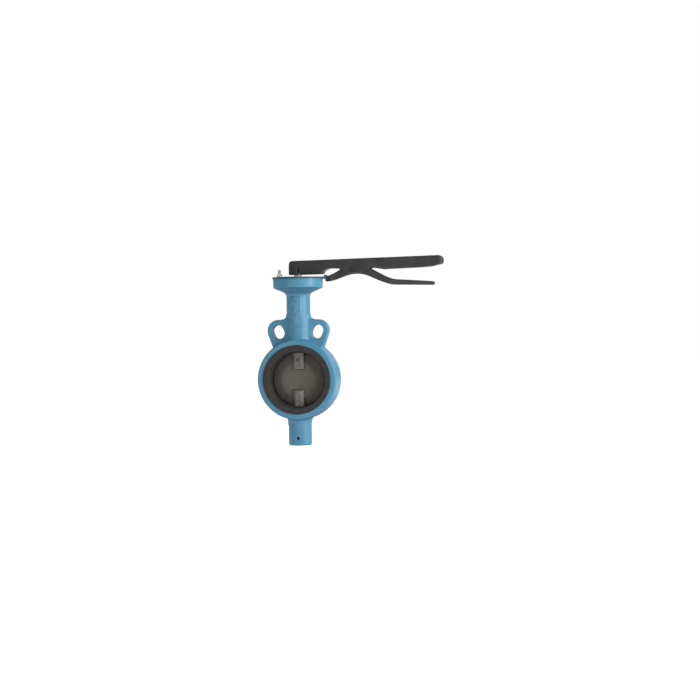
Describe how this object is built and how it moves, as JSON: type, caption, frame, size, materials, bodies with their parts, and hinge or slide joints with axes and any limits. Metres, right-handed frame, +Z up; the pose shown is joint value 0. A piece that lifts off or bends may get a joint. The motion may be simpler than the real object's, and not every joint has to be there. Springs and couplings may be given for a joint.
{
  "type": "butterfly valve",
  "caption": "Wafer butterfly valve with a rubber-lined ring body, grey disc, bolt ears, top flange and a black notched hand lever with a squeeze trigger.",
  "frame": {"origin": "centre of the bore, where the stem axis crosses the pipe axis", "axes": "+Y along the pipe, away from the front face; +Z up the stem to the lever; +X along the lever when it is closed"},
  "size_m": [0.2823, 0.0834, 0.2812],
  "materials": {
    "body_paint": "semi-gloss mid-blue epoxy over cast iron",
    "liner_rubber": "matt black moulded rubber",
    "disc_iron": "grey-brown coated iron, satin",
    "lever_paint": "satin black paint over a casting",
    "trigger_paint": "satin black paint over a casting",
    "zinc_steel": "bright zinc plate",
    "stainless_steel": "turned stainless steel",
    "spring_steel": "oiled spring steel",
    "black_steel": "blackened steel",
    "bronze": "plain turned bronze",
    "seal_rubber": "smooth black rubber"
  },
  "bodies": {
    "body": {"valve_body": "body_paint", "seat_liner": "liner_rubber", "lower_stem": "stainless_steel", "lower_stem_pin": "zinc_steel", "lower_stem_o_ring": "seal_rubber", "bottom_plug": "zinc_steel", "top_stem_bushing": "bronze", "middle_stem_bushing": "bronze", "stem_o_rings": "seal_rubber", "thrust_washer": "stainless_steel", "notch_plate": "zinc_steel", "plate_bolt": "zinc_steel", "plate_washer": "zinc_steel", "plate_nut": "zinc_steel", "plate_screw": "zinc_steel", "screw_nut": "zinc_steel"},
    "lever": {"upper_stem": "stainless_steel", "stem_circlip": "spring_steel", "valve_disc": "disc_iron", "disc_taper_pin": "stainless_steel", "disc_bush": "bronze", "lever_arm": "lever_paint", "lever_set_screw": "black_steel", "trigger_pivot_pin": "black_steel", "pivot_pin_clip": "spring_steel", "latch_spring": "spring_steel"},
    "trigger": {"latch_trigger": "trigger_paint"}
  },
  "joints": [
    {"name": "lever_turn", "type": "hinge", "parent": "body", "child": "lever", "pos_m": [0, 0, 0], "axis": [0, 0, 1], "range_deg": [0, 90]},
    {"name": "trigger_squeeze", "type": "hinge", "parent": "lever", "child": "trigger", "pos_m": [0.086, 0, 0.1645], "axis": [0, -1, 0], "range_deg": [0, 8], "stiffness_Nm_per_rad": 4.3, "springref_deg": -10.66, "deforming": ["latch_spring"]}
  ]
}
